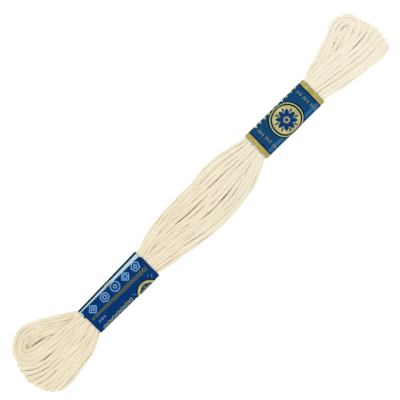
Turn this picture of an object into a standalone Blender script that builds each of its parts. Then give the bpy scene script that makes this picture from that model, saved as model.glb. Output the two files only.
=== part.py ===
"""Hank of six-strand embroidery floss: one wound skein, held by two paper bands.

Metres, +Z up, with the table at z = 0. +X runs along the hank, from the end with the wide fan of
loops to the end with the narrow one, and both fans open towards +Y. The origin is on the table,
under the middle of the hank's box. The tables below are in millimetres, from the hank's own axis.
"""

from collections import namedtuple
import math

import bmesh
import bpy
from mathutils import Vector

MM = 0.001

# The fans reach further to +Y than to -Y, so the hank's axis is off the middle of the box.
AXIS_Y = -2.53

# Paper bands, each one bent round the hank with its end glued over its start.
BAND_LENGTH = 27.7
BAND_HALF_WIDTH = 5.3
BAND_HALF_HEIGHT = 3.55
BAND_MIDDLE_Z = 4.05
BAND_SKEW = math.radians(-1.5)
PAPER = 1.0
LAP_STEP = 0.3
LAP_ARC = 0.22
BAND_SIDES = 48
BAND_GAP = 0.3
# The floss keeps its waist for this far past a band's end, and only then swells.
WAIST_OVERHANG = 0.35

# Sections are rounded like a pressed bundle: an exponent of 2 is an ellipse, and more is squarer.
SQUARENESS = 2.4
SECTION_STEPS = 180

# Strands lie in ridges: how many round the bundle and across a fan, and how deep the grooves are.
BUNDLE_RIDGES = 17
FAN_RIDGES = 11
RIDGE_STEPS = 4
GROOVE = 0.38
UNEVEN = 0.28

# A fan is a sheet of strands bent back under itself at the tips. These are half its thickness, half
# the width of its middle surface, and how far that is from the bundle's middle, at three places.
Sheet = namedtuple("Sheet", "half_thickness half_width rise")
IN_BAND = Sheet(0.9, 2.2, 1.0)
AT_MOUTH = Sheet(1.0, 3.9, 1.5)
FAN_HALF_THICKNESS = 1.15
MOUTH_CLEARANCE = 0.6
RUN_STEPS = 6
TURN_STEPS = 8
EDGE_STEPS = 2

Band = namedtuple("Band", "name middle_x middle_y lap_place colour roughness")
Station = namedtuple("Station", "x low_y high_y low_z high_z")
Turn = namedtuple("Turn", "upper_y upper_z tip_x tip_y lower_y lower_z")
Fan = namedtuple("Fan", "name band inner_x widest_x turns")

# A lap place is where the glued end stops, as a share of the way round from the +Y side over the
# top: on the upper face of one band, and underneath the other.
LOWER_BAND = Band("lower_band", -40.45, -0.2, 0.10, (0.002, 0.038, 0.165, 1.0), 0.45)
UPPER_BAND = Band("upper_band", 39.6, 0.2, 0.72, (0.005, 0.072, 0.270, 1.0), 0.40)

# The bundle between the fans. A low_z under 0 is pressed flat on the table.
WIDE_NECK = (
    Station(-62.5, -0.6, 2.4, 3.4, 4.7),
    Station(-58.5, -3.6, 4.2, 2.4, 5.7),
    Station(-55.2, -3.9, 4.2, 2.0, 6.1),
)
BELLY = (
    Station(-25.7, -5.6, 4.9, 0.7, 7.1),
    Station(-23.0, -6.3, 5.7, 0.3, 7.4),
    Station(-18.0, -7.4, 6.6, -0.1, 7.7),
    Station(-12.0, -8.5, 7.1, -0.4, 8.0),
    Station(-6.0, -9.4, 7.5, -0.5, 8.2),
    Station(0.0, -9.8, 7.5, -0.5, 8.3),
    Station(5.5, -9.7, 7.7, -0.5, 8.2),
    Station(11.0, -8.7, 7.7, -0.4, 8.1),
    Station(16.5, -7.4, 7.4, -0.1, 7.8),
    Station(22.0, -5.7, 6.8, 0.3, 7.5),
    Station(24.8, -4.9, 5.7, 0.7, 7.1),
)
NARROW_NECK = (
    Station(54.2, -4.2, 3.9, 2.0, 6.1),
    Station(57.5, -4.0, 3.6, 2.4, 5.7),
    Station(61.5, -1.8, 1.2, 3.4, 4.7),
)

# One row for each place across a fan, from its -Y edge to its +Y edge. A strand leaves the band in
# the upper sheet, turns round the tip and comes back in the lower sheet, further to +Y, so that the
# loops lean over and the eye between the sheets shows from above at the +Y edge.
WIDE_TURNS = (
    Turn(-7.3, 5.3, -76.4, -6.6, -8.5, 1.2),
    Turn(-4.8, 5.9, -79.7, -2.6, -2.6, 1.15),
    Turn(-2.0, 6.1, -81.1, 1.8, 3.4, 1.1),
    Turn(0.8, 6.1, -81.0, 5.0, 7.8, 1.1),
    Turn(3.7, 5.8, -79.6, 8.4, 11.2, 1.2),
    Turn(6.5, 5.2, -77.4, 11.3, 13.8, 1.5),
)
NARROW_TURNS = (
    Turn(-6.6, 5.2, 79.7, -7.3, -7.0, 1.2),
    Turn(-4.8, 5.9, 80.8, -5.4, -4.2, 1.15),
    Turn(-2.8, 6.1, 81.3, -2.2, -0.4, 1.1),
    Turn(-0.6, 6.1, 81.2, 1.6, 3.2, 1.1),
    Turn(1.5, 5.8, 79.9, 5.0, 6.7, 1.2),
    Turn(3.4, 5.1, 77.9, 8.2, 9.8, 1.5),
)
WIDE_FAN = Fan("wide_fan_loops", LOWER_BAND, -49.0, -72.5, WIDE_TURNS)
NARROW_FAN = Fan("narrow_fan_loops", UPPER_BAND, 48.0, 71.5, NARROW_TURNS)

FLOSS_COLOUR = (0.855, 0.775, 0.610, 1.0)
FLOSS_ROUGHNESS = 0.6


def clear_scene():
    """Remove whatever the file held before."""
    for old in list(bpy.data.objects):
        bpy.data.objects.remove(old, do_unlink=True)


def new_collection(name):
    """A collection under the scene's own."""
    collection = bpy.data.collections.new(name)
    bpy.context.scene.collection.children.link(collection)
    return collection


def new_material(name, colour, roughness):
    """A plain Principled material."""
    material = bpy.data.materials.new(name)
    material.use_nodes = True
    shader = material.node_tree.nodes["Principled BSDF"]
    shader.inputs["Base Color"].default_value = colour
    shader.inputs["Roughness"].default_value = roughness
    shader.inputs["Metallic"].default_value = 0.0
    return material


def mix(start, end, share):
    """The value a share of the way from start to end."""
    return start + (end - start) * share


def ease(share):
    """0 to 1 with a level start and a level end."""
    return share * share * (3.0 - 2.0 * share)


def spread(share):
    """How far strands have fanned out: a level start, then almost straight, then level."""
    return 0.5 * (ease(share) + math.sin(0.5 * math.pi * share))


def lift(share):
    """How far the two sheets of a fan have parted: sooner than it spreads."""
    return ease(min(1.0, 1.7 * share))


def rounded(angle, half_width, half_height):
    """The point of a pressed round section at an angle from its +Y side."""
    power = 2.0 / SQUARENESS
    across = math.copysign(abs(math.cos(angle)) ** power, math.cos(angle))
    up = math.copysign(abs(math.sin(angle)) ** power, math.sin(angle))
    return half_width * across, half_height * up


def section(places, half_width, half_height):
    """Points of a pressed round section, each at a share of the way round from its +Y side."""
    corners = [rounded(2.0 * math.pi * step / SECTION_STEPS, half_width, half_height)
               for step in range(SECTION_STEPS + 1)]
    lengths = [0.0]
    for start, end in zip(corners, corners[1:]):
        lengths.append(lengths[-1] + math.dist(start, end))
    points = []
    step = 0
    for place in places:
        wanted = place * lengths[-1]
        while lengths[step + 1] < wanted:
            step += 1
        share = (wanted - lengths[step]) / (lengths[step + 1] - lengths[step])
        points.append([mix(start, end, share) for start, end in zip(corners[step], corners[step + 1])])
    return points


def ridges(count):
    """Places from 0 to 1 across ridges of uneven width, each with 0 in a groove and 1 on a crest."""
    widths = [1.0 + UNEVEN * math.sin(2.4 * number + 0.7) for number in range(count)]
    places = []
    start = 0.0
    for width in widths:
        for step in range(RIDGE_STEPS):
            share = step / RIDGE_STEPS
            crest = math.sin(math.pi * share) ** 0.7
            places.append(((start + width * share) / sum(widths), crest))
        start += width
    return places


def band_axis_y(band, x):
    """The middle of a band's bore at x: both bands are a little askew on the hank."""
    return band.middle_y + math.tan(BAND_SKEW) * (x - band.middle_x)


def waist(band):
    """The bundle just past the two ends of a band: it fills the band's bore less the gap."""
    half_width = BAND_HALF_WIDTH - PAPER - BAND_GAP
    half_height = BAND_HALF_HEIGHT - PAPER - BAND_GAP
    reach = 0.5 * BAND_LENGTH + WAIST_OVERHANG
    rows = []
    for x in (band.middle_x - reach, band.middle_x + reach):
        y = band_axis_y(band, x)
        rows.append(Station(x, y - half_width, y + half_width,
                            BAND_MIDDLE_Z - half_height, BAND_MIDDLE_Z + half_height))
    return tuple(rows)


def loft(name, rings):
    """A closed mesh through rings of equally many points, with a flat cap at each end."""
    shape = bmesh.new()
    rows = [[shape.verts.new(Vector(point) * MM) for point in ring] for ring in rings]
    for row, next_row in zip(rows, rows[1:]):
        for number, corner in enumerate(row):
            after = (number + 1) % len(row)
            shape.faces.new((corner, row[after], next_row[after], next_row[number]))
    shape.faces.new(rows[0][::-1])
    shape.faces.new(rows[-1])
    bmesh.ops.recalc_face_normals(shape, faces=shape.faces)
    mesh = bpy.data.meshes.new(name)
    shape.to_mesh(mesh)
    shape.free()
    return mesh


def bundle_ring(station):
    """One ridged section across the bundle."""
    middle_y = 0.5 * (station.low_y + station.high_y)
    middle_z = 0.5 * (station.low_z + station.high_z)
    half_width = 0.5 * (station.high_y - station.low_y)
    half_height = 0.5 * (station.high_z - station.low_z)
    places = ridges(BUNDLE_RIDGES)
    outline = section([place for place, _ in places], half_width, half_height)
    ring = []
    for (y, z), (_, crest) in zip(outline, places):
        shrink = 1.0 - GROOVE * (1.0 - crest) / math.hypot(y, z)
        ring.append((station.x, AXIS_Y + middle_y + y * shrink, max(0.0, middle_z + z * shrink)))
    return ring


def turn_row(turns, share):
    """The turns' table read at any share of the way across, smoothly between its rows."""
    place = share * (len(turns) - 1)
    first = min(int(place), len(turns) - 2)
    part = place - first
    rows = [turns[min(max(number, 0), len(turns) - 1)] for number in range(first - 1, first + 3)]
    values = []
    for before, start, end, after in zip(*rows):
        slope_in = 0.5 * (end - before)
        slope_out = 0.5 * (after - start)
        values.append(mix(start, end, ease(part)) + slope_in * part * (1.0 - part) ** 2
                      - slope_out * part ** 2 * (1.0 - part))
    return Turn(*values)


def sheet_run(fan, share, side, wide_y, wide_z):
    """The middle of the upper (side 1) or lower (side -1) sheet, from the band to the widest place."""
    outward = math.copysign(1.0, fan.widest_x)
    mouth_x = fan.band.middle_x + outward * (0.5 * BAND_LENGTH + WAIST_OVERHANG)
    clear_x = mouth_x + outward * MOUTH_CLEARANCE
    run = []
    for x in (fan.inner_x, mouth_x):
        slot_y = mix(-IN_BAND.half_width, IN_BAND.half_width, share)
        run.append((Vector((x, band_axis_y(fan.band, x) + slot_y, BAND_MIDDLE_Z + side * IN_BAND.rise)),
                    IN_BAND.half_thickness))
    mouth_y = band_axis_y(fan.band, clear_x) + mix(-AT_MOUTH.half_width, AT_MOUTH.half_width, share)
    mouth_z = BAND_MIDDLE_Z + side * AT_MOUTH.rise
    for step in range(RUN_STEPS):
        part = step / RUN_STEPS
        middle = Vector((mix(clear_x, fan.widest_x, part), mix(mouth_y, wide_y, spread(part)),
                         mix(mouth_z, wide_z, lift(part))))
        run.append((middle, mix(AT_MOUTH.half_thickness, FAN_HALF_THICKNESS, lift(part))))
    return run


def fan_route(fan, share):
    """Points of the sheet's middle with half its thickness: out above, round the tip, back below."""
    turn = turn_row(fan.turns, share)
    outward = math.copysign(1.0, fan.widest_x)
    middle_z = 0.5 * (turn.upper_z + turn.lower_z)
    bend = []
    for step in range(TURN_STEPS + 1):
        angle = math.pi * step / TURN_STEPS
        reach, up = rounded(0.5 * math.pi - angle, abs(turn.tip_x - fan.widest_x),
                            0.5 * (turn.upper_z - turn.lower_z))
        # The strand drifts sideways from upper_y to tip_y and on to lower_y as it goes round.
        wide_y = turn.upper_y if angle < 0.5 * math.pi else turn.lower_y
        middle = Vector((fan.widest_x + outward * reach,
                         mix(turn.tip_y, wide_y, abs(math.cos(angle))), middle_z + up))
        bend.append((middle, FAN_HALF_THICKNESS))
    return (sheet_run(fan, share, 1.0, turn.upper_y, turn.upper_z) + bend
            + sheet_run(fan, share, -1.0, turn.lower_y, turn.lower_z)[::-1])


def sheet_edge(middle, out, across, half):
    """The rounded edge of the sheet, from its outer face to its inner one."""
    points = []
    for step in range(1, EDGE_STEPS + 1):
        angle = math.pi * step / (EDGE_STEPS + 1)
        points.append(middle + half * (out * math.cos(angle) + across * math.sin(angle)))
    return points


def fan_loops(fan):
    """The sheet of loops beyond a band, as one closed strip with ridges on its outer face."""
    places = ridges(FAN_RIDGES) + [(1.0, 0.0)]
    routes = [fan_route(fan, place) for place, _ in places]
    last_place = len(places) - 1
    last_number = len(routes[0]) - 1
    rings = []
    for number in range(last_number + 1):
        outer = []
        inner = []
        edges = []
        for column, (_, crest) in enumerate(places):
            middle, half = routes[column][number]
            along = (routes[column][min(number + 1, last_number)][0]
                     - routes[column][max(number - 1, 0)][0])
            across = (routes[min(column + 1, last_place)][number][0]
                      - routes[max(column - 1, 0)][number][0]).normalized()
            out = along.cross(across).normalized() * math.copysign(1.0, fan.widest_x)
            outer.append(middle + out * (half - GROOVE * (1.0 - crest)))
            if column % RIDGE_STEPS == 0:
                inner.append(middle - out * half)
            if column == 0:
                edges.append(sheet_edge(middle, out, -across, half))
            if column == last_place:
                edges.append(sheet_edge(middle, out, across, half))
        ring = outer + edges[1] + inner[::-1] + edges[0][::-1]
        rings.append([(point.x, AXIS_Y + point.y, max(0.0, point.z)) for point in ring])
    return loft(fan.name, rings)


def make_hank(collection, cutters):
    """The floss: the bundle, with the loops of both fans joined on inside the bands."""
    stations = WIDE_NECK + waist(LOWER_BAND) + BELLY + waist(UPPER_BAND) + NARROW_NECK
    mesh = loft("floss_hank", [bundle_ring(station) for station in stations])
    mesh.materials.append(new_material("mercerised_cotton", FLOSS_COLOUR, FLOSS_ROUGHNESS))
    hank = bpy.data.objects.new("floss_hank", mesh)
    collection.objects.link(hank)
    for fan in (WIDE_FAN, NARROW_FAN):
        loops = bpy.data.objects.new(fan.name, fan_loops(fan))
        loops.hide_render = True
        loops.display_type = "WIRE"
        cutters.objects.link(loops)
        join = hank.modifiers.new("join_" + fan.name, "BOOLEAN")
        join.operation = "UNION"
        join.solver = "EXACT"
        join.object = loops


def band_outline(band, half_width, half_height, lap_step):
    """A band's outline, grown where its end lies over its start and thinning away behind the lap."""
    places = [number / BAND_SIDES for number in range(BAND_SIDES)]
    points = []
    for place, (y, z) in zip(places, section(places, half_width, half_height)):
        behind = (place - band.lap_place) % 1.0
        over = lap_step * max(0.0, 1.0 - behind / LAP_ARC)
        grow = 1.0 + over / math.hypot(y, z)
        points.append((y * grow, z * grow))
    return points


def make_band(band, collection):
    """A paper sleeve: two outlines, one inside the other, extruded along the hank."""
    curve = bpy.data.curves.new(band.name, "CURVE")
    curve.dimensions = "2D"
    curve.fill_mode = "BOTH"
    curve.extrude = 0.5 * BAND_LENGTH * MM
    outside = band_outline(band, BAND_HALF_WIDTH, BAND_HALF_HEIGHT, LAP_STEP)
    inside = band_outline(band, BAND_HALF_WIDTH - PAPER, BAND_HALF_HEIGHT - PAPER, 0.0)
    for outline in (outside, inside):
        spline = curve.splines.new("POLY")
        spline.points.add(len(outline) - 1)
        for point, (y, z) in zip(spline.points, outline):
            point.co = (y * MM, z * MM, 0.0, 1.0)
        spline.use_cyclic_u = True
    curve.materials.append(new_material(band.name + "_paper", band.colour, band.roughness))
    sleeve = bpy.data.objects.new(band.name, curve)
    # The outline's own X and Y stand across the hank and up, and the extrusion runs along the hank.
    sleeve.rotation_euler = (0.5 * math.pi, 0.0, 0.5 * math.pi + BAND_SKEW)
    sleeve.location = (band.middle_x * MM, (AXIS_Y + band.middle_y) * MM, BAND_MIDDLE_Z * MM)
    collection.objects.link(sleeve)


def main():
    """Build the hank and its bands."""
    clear_scene()
    parts = new_collection("embroidery_floss_hank")
    cutters = new_collection("cutters")
    make_hank(parts, cutters)
    make_band(LOWER_BAND, parts)
    make_band(UPPER_BAND, parts)


main()
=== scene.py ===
# %% [markdown]
# # A hank of embroidery floss
#
# Stranded cotton is sold as a pull skein: about eight metres of thread, wound into long loops and
# held by two paper bands. The thread is six fine strands laid side by side with hardly any twist,
# so the light picks out every one of them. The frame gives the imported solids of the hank. This
# lesson winds a real thread into their space, dresses the bands in printed paper, and lights it all.

import math
from collections import namedtuple

import bpy
import numpy as np
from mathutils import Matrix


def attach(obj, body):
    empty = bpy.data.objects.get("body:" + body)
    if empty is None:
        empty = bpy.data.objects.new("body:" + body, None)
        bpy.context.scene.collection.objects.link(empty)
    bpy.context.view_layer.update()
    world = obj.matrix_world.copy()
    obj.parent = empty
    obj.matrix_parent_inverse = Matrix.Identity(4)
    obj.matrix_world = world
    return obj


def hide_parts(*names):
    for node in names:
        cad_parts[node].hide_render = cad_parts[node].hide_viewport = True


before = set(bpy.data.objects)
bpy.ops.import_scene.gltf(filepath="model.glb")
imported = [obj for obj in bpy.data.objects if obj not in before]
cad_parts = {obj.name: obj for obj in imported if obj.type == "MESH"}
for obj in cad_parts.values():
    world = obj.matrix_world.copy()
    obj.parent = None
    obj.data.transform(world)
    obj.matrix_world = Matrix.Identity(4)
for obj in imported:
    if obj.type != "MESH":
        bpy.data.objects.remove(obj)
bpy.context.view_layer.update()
print("solids:", sorted(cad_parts))

# %% [markdown]
# ## Units
#
# Small things are easiest to think about in millimetres, measured from the hank's own axis, with
# the table at height 0. Blender works in metres, and the solids have their origin under the middle
# of their box, so one function takes every point across.

# %% From the hank's millimetres to the frame's metres
MM = 0.001
AXIS_Y = -2.53


def to_frame(points):
    """Points in millimetres from the hank's axis, as metres in the frame."""
    moved = np.asarray(points, float) + (0.0, AXIS_Y, 0.0)
    return moved * MM


print("the hank's axis is", AXIS_Y, "mm from the middle of its box")

# %% [markdown]
# ## Camera
#
# The hank lies across the picture from corner to corner, seen from straight above. A long lens far
# away keeps the fans as flat as they are on the table, with no perspective along 165 mm of thread.
# It comes first, so that every later step can be looked at.

# %% A camera straight above
FIELD = 133.38
CAMERA_HEIGHT = 1000.0
SENSOR = 36.0
HANK_SLANT = math.radians(46.0)
LOOK_AT = (0.459, 1.706, 4.0)

camera_data = bpy.data.cameras.new("camera")
camera_data.sensor_width = SENSOR
camera_data.lens = SENSOR * CAMERA_HEIGHT / FIELD
camera = bpy.data.objects.new("camera", camera_data)
camera.location = to_frame(np.array(LOOK_AT) + (0.0, 0.0, CAMERA_HEIGHT))
camera.rotation_euler = (0.0, 0.0, -HANK_SLANT)
bpy.context.scene.collection.objects.link(camera)
bpy.context.scene.camera = camera
print("lens of", round(camera_data.lens), "mm for a field of", FIELD, "mm")

# %% [markdown]
# ## Where each strand lies
#
# The floss goes round the hank 24 times, so 24 strands cross the belly above and 24 below. Thirteen
# of the upper ones show from above. A wound hank is never regular: strands spread, dive under their
# neighbours and come up again, and that is what makes it look wound and not extruded. So these
# thirteen are listed in three short tables of the distance from the axis at a few
# stations, one row a strand, from the -Y edge to the +Y edge. The others are worked out from them.

# %% The strands that show on the belly, station by station
TURNS = 24
SHOWN = 13

BELLY_X = (-26.0, -20.0, -14.0, -8.0, -2.0, 4.0, 10.0, 16.0, 22.0, 25.5)
BELLY_Y = (
    (-4.7, -5.6, -6.6, -7.7, -8.5, -8.6, -7.9, -6.7, -5.2, -4.5),
    (-3.3, -4.2, -5.2, -6.5, -7.4, -7.6, -6.9, -5.8, -4.5, -3.9),
    (-2.1, -2.8, -3.9, -5.1, -6.2, -6.6, -6.1, -4.9, -3.8, -3.3),
    (-1.2, -1.9, -2.6, -3.9, -4.9, -5.5, -5.2, -4.0, -3.3, -2.9),
    (-0.7, -1.1, -2.0, -2.8, -3.9, -4.25, -3.5, -2.7, -2.4, -2.35),
    (-0.1, -0.6, -1.3, -1.6, -2.5, -2.8, -2.1, -1.5, -1.5, -1.6),
    (0.7, 0.8, 0.2, -0.6, -1.25, -1.5, -1.4, -1.1, -1.05, -1.1),
    (1.5, 2.1, 1.4, 0.6, 0.05, -0.15, -0.3, -0.3, -0.4, -0.4),
    (2.3, 3.1, 2.8, 2.2, 1.8, 1.4, 1.1, 0.7, 0.65, 0.7),
    (2.8, 3.6, 3.9, 3.7, 3.3, 3.0, 2.6, 2.2, 1.95, 1.9),
    (3.3, 4.1, 4.6, 4.7, 4.4, 4.3, 3.95, 3.5, 2.8, 2.6),
    (3.9, 4.6, 5.2, 5.5, 5.4, 5.5, 5.4, 5.1, 4.3, 3.7),
    (4.5, 5.5, 6.2, 6.6, 6.5, 6.8, 6.9, 6.6, 5.7, 5.0),
)
print(SHOWN, "strands placed by hand, out of", TURNS, "above and", TURNS, "below")

# %% The strands that show in the fans, turn by turn
# One row a turn: its upper strand's place at five stations of the fan, from the band outwards, its tip,
# how far that tip leans towards +Y from halfway between the loop's sides, where it comes back, and how
# deep it dives under its neighbours. In the wide fan the last four curl round the eye, as its rim.
Turn = namedtuple("Turn", "mouth neck slope fan wide tip_x lean back_y under", defaults=(0.0,))
WIDE_X = (-55.0, -60.0, -64.0, -68.0, -72.0)
WIDE_TURNS = [Turn(*row) for row in (
    (-5.5, -6.3, -7.1, -7.8, -8.7, -77.6, -0.1, -6.3),
    (-5.0, -5.5, -5.9, -6.5, -7.4, -79.2, -0.2, -4.6),
    (-4.5, -4.9, -5.3, -5.7, -6.2, -80.2, -0.1, -3.0),
    (-4.0, -4.4, -4.7, -5.0, -5.1, -80.9, -0.15, -1.4),
    (-3.6, -3.8, -4.1, -4.2, -4.1, -81.5, 0.1, 0.8),
    (-3.0, -3.1, -3.0, -2.9, -2.7, -82.0, 0.4, 3.6),
    (-1.8, -1.85, -1.8, -1.6, -1.5, -82.3, -0.1, 6.8),
    (-0.4, -0.5, -0.5, -0.3, 0.05, -82.0, 0.1, 8.9),
    (0.9, 1.0, 1.1, 1.1, 1.3, -81.2, 0.25, 10.2),
    (1.5, 1.6, 1.9, 2.4, 3.0, -79.4, -1.5, 14.8),
    (2.2, 2.2, 2.6, 3.4, 4.1, -78.4, -0.8, 13.6),
    (2.9, 3.0, 3.7, 4.5, 5.2, -77.6, 0.1, 12.4),
    (3.7, 3.6, 4.4, 5.4, 6.3, -76.6, 0.2, 11.4),
)]
NARROW_X = (56.0, 62.0, 66.0, 70.0, 74.0)
NARROW_TURNS = [Turn(*row) for row in (
    (-4.7, -5.5, -6.1, -6.7, -7.4, 80.7, -0.6, -5.6, 0.0),
    (-3.8, -4.7, -5.4, -6.0, -6.8, 80.9, -0.5, -4.9, 0.5),
    (-2.8, -3.9, -4.9, -5.6, -6.1, 81.1, -0.5, -4.0, 0.0),
    (-1.9, -3.1, -4.0, -4.7, -5.1, 81.1, -0.4, -2.8, 0.8),
    (-1.1, -2.3, -3.2, -3.8, -4.1, 81.4, -0.4, -1.8, 0.0),
    (0.2, -0.85, -1.6, -2.15, -2.3, 81.8, -0.3, 0.2, 0.0),
    (0.7, -0.2, -0.9, -1.4, -1.5, 81.6, -0.8, 2.6, 0.9),
    (1.2, 0.35, -0.25, -0.7, -0.7, 81.9, -0.3, 4.0, 0.0),
    (2.1, 1.45, 1.0, 0.7, 0.85, 81.3, -0.5, 5.4, 0.0),
    (2.5, 1.9, 1.5, 1.3, 1.5, 80.0, -0.3, 7.0, 1.1),
    (2.8, 2.4, 2.0, 1.8, 2.2, 79.4, -1.2, 11.5, 0.0),
    (3.2, 2.8, 2.5, 2.3, 2.9, 78.6, 0.0, 10.2, 1.1),
    (3.5, 3.3, 2.85, 2.85, 3.7, 77.8, 0.85, 8.4, 0.0),
)]
# The strands that show in the rims of the two eyes, on their way back to the bands, outermost first.
WIDE_RIM = ((5.0, 7.7, 10.5, 13.1), (4.5, 6.9, 9.5, 12.0), (4.0, 6.1, 8.5, 11.0), (3.5, 5.4, 7.6, 10.1))
NARROW_RIM = ((4.2, 5.7, 7.3, 9.2), (3.9, 5.1, 6.6, 8.3), (3.6, 4.7, 5.9, 7.2))
print("the two fans are", round(NARROW_TURNS[7].tip_x - WIDE_TURNS[6].tip_x, 1), "mm from tip to tip")

# %% [markdown]
# ## The thread's route
#
# One thread makes the whole hank, so one list of points does too. Each turn runs along the top,
# round the narrow fan, back underneath and round the wide fan, and inside the lower band it steps
# over to the next turn's place, where nobody sees it. The upper strands take their sideways place
# from the tables and their height from a pressed round section. A turn at a tip is half a rounded
# loop from the upper strand down to the lower one.

# %% Reading the tables smoothly
def smooth(x, places, values):
    """Values at x from a few places, on a curve that is smooth at each of them."""
    places = np.asarray(places, float)
    values = np.asarray(values, float)
    slopes = np.gradient(values, places)
    x = np.clip(x, places[0], places[-1])
    first = np.clip(np.searchsorted(places, x, side="right") - 1, 0, len(places) - 2)
    width = places[first + 1] - places[first]
    share = (x - places[first]) / width
    rest = 1.0 - share
    return (values[first] * (1.0 + 2.0 * share) * rest ** 2
            + slopes[first] * width * share * rest ** 2
            + values[first + 1] * (3.0 - 2.0 * share) * share ** 2
            - slopes[first + 1] * width * share ** 2 * rest)


def between_rows(table, place):
    """A row of a table at any place between its rows."""
    rows = np.asarray(table, float)
    first = int(min(max(place, 0.0), len(rows) - 1.001))
    return rows[first] + (rows[first + 1] - rows[first]) * (place - first)


def turn_at(turns, place):
    """A turn at any place between the rows of a fan's table."""
    return Turn(*between_rows(turns, place))


def ease(share):
    """0 to 1 with a level start and a level end."""
    share = np.clip(share, 0.0, 1.0)
    return share * share * (3.0 - 2.0 * share)


print("strand 0 crosses x = 0 at y =", round(float(smooth(0.0, BELLY_X, BELLY_Y[0])), 1), "mm")

# %% The section of the hank: its middle height, half its height and how square it is
SECTION_X = (-72.0, -64.0, -56.0, -53.0, -27.0, -25.0, -18.0, -12.0, 0.0,
             11.0, 17.0, 23.0, 26.0, 53.0, 56.0, 64.0, 74.0)
MIDDLE_Z = (3.6, 3.8, 4.0, 4.05, 4.05, 4.0, 3.8, 3.8, 3.9, 3.85, 3.85, 3.95, 4.05, 4.05, 4.0, 3.8, 3.6)
HALF_Z = (3.0, 3.0, 2.9, 2.75, 2.75, 2.85, 3.3, 3.55, 3.75, 3.6, 3.3, 2.9, 2.75, 2.75, 2.9, 3.0, 3.0)
SQUARE = (4.0, 3.4, 2.6, 2.4, 2.4, 2.4, 2.4, 2.4, 2.4, 2.4, 2.4, 2.4, 2.4, 2.4, 2.6, 3.4, 4.0)
EDGE_ROOM = 0.35
LAYER = 0.95
STRAND = 0.61


def height(x, y, low, high, side, depth):
    """Height of a strand on the upper (side 1) or lower (side -1) face of the section."""
    middle = 0.5 * (low + high)
    half = 0.5 * (high - low) + EDGE_ROOM
    power = smooth(x, SECTION_X, SQUARE)
    out = np.clip(np.abs(y - middle) / half, 0.0, 1.0)
    rise = smooth(x, SECTION_X, HALF_Z) * (1.0 - out ** power) ** (1.0 / power)
    z = smooth(x, SECTION_X, MIDDLE_Z) + side * np.maximum(rise - depth, 0.0)
    return np.maximum(z, STRAND + (depth if side < 0 else 0.0))


print("the section is", 2.0 * max(HALF_Z), "mm high in the belly and", 2.0 * min(HALF_Z), "mm in the bands")

# %% Sideways places of the strands, above and below
STATIONS = len(WIDE_X)
LAST = SHOWN - 1.0
# The four lower strands that pass round an eye come back in the opposite order.
LOWER_ORDER = ((0.0, 8.0, 9.0, 12.0), (0.0, 8.0, 12.0, 9.0))


def upper_y(place, x):
    """Sideways place of an upper strand at x. Its number may lie between two strands that show."""
    places = WIDE_X[::-1] + BELLY_X + NARROW_X
    wide = between_rows(WIDE_TURNS, place)[:STATIONS][::-1]
    narrow = between_rows(NARROW_TURNS, place)[:STATIONS]
    return smooth(x, places, np.concatenate([wide, between_rows(BELLY_Y, place), narrow]))


def fan_y(place, turns, rim, x, fan_x):
    """Sideways place of a lower strand in a fan, on its way from the widest place to the band."""
    back_y = turn_at(turns, place).back_y
    first = turns[0].mouth
    last = turn_at(turns, LAST).mouth
    mouth = first + (last - first) * np.interp(place, *LOWER_ORDER) / LAST
    share = np.clip((x - fan_x[0]) / (fan_x[-1] - fan_x[0]), 0.0, 1.0)
    plain = mouth + (back_y - mouth) * 0.5 * (ease(share) + np.sin(0.5 * math.pi * share))
    curl = SHOWN - len(rim)
    if place < curl - 1.0:
        return plain
    along = np.append(between_rows(rim, max(place - curl, 0.0)), back_y)
    order = np.argsort(fan_x)
    curled = smooth(x, np.asarray(fan_x)[order], along[order])
    return plain + (curled - plain) * min(1.0, place - curl + 1.0)


def lower_y(place, x):
    """Sideways place of a lower strand at x."""
    share = 2.0 * np.interp(place, *LOWER_ORDER) / LAST - 1.0
    low = upper_y(0.0, x)
    high = upper_y(LAST, x)
    belly = 0.5 * (low + high) + 0.5 * (high - low) * share
    wide = fan_y(place, WIDE_TURNS, WIDE_RIM, x, WIDE_X)
    narrow = fan_y(place, NARROW_TURNS, NARROW_RIM, x, NARROW_X)
    y = np.where(x < WIDE_X[0], wide, belly)
    return np.where(x > NARROW_X[0], narrow, y)


print("the belly is", round(float(upper_y(LAST, 0.0) - upper_y(0.0, 0.0)), 1), "mm between its edge strands")

# %% Gaps between strands, and seams that are filled
GAP_DEPTH = 0.75
FILL_RISE = 0.6
SAME_ROW = 0.3
# At a gap two neighbours part and a strand between them sinks. At a seam such a strand rises to fill it.
Gap = namedtuple("Gap", "row first_x last_x half_width sink")
GAPS = [Gap(*gap, GAP_DEPTH) for gap in (
    (7.5, -13.0, -1.0, 0.2), (8.5, 6.0, 18.0, 0.2), (4.5, -6.5, 19.0, 0.26), (4.5, 6.0, 16.0, 0.12),
    (2.5, -24.0, -4.0, 0.1), (7.5, 57.0, 72.0, 0.2), (7.5, 70.0, 82.0, 0.08), (2.5, 61.0, 72.0, 0.2),
    (8.5, -79.0, -71.0, 0.22), (9.5, -71.0, -59.0, 0.22), (7.5, -67.0, -57.0, 0.14),
    (6.5, -66.0, -54.0, 0.14), (5.5, -66.0, -54.0, 0.14),
)]
GAPS += [Gap(*seam, 0.0, -FILL_RISE) for seam in (
    (0.5, 56.0, 80.0), (6.5, 62.0, 78.0), (0.5, -24.0, 24.0), (1.5, -20.0, 22.0), (10.5, -20.0, 24.0),
    (11.5, -22.0, 25.0), (1.5, 66.0, 90.0), (3.5, 68.0, 90.0), (4.5, 68.0, 90.0), (5.5, 68.0, 90.0),
    (4.5, -88.0, -67.0), (5.5, -88.0, -67.0),
)]


def gap_at(gap, x):
    """How open a gap between two strands is at x, from 0 to 1."""
    middle = 0.5 * (gap.first_x + gap.last_x)
    half = 0.5 * (gap.last_x - gap.first_x)
    return np.exp(-(np.abs(x - middle) / half) ** 4.0)


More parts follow.
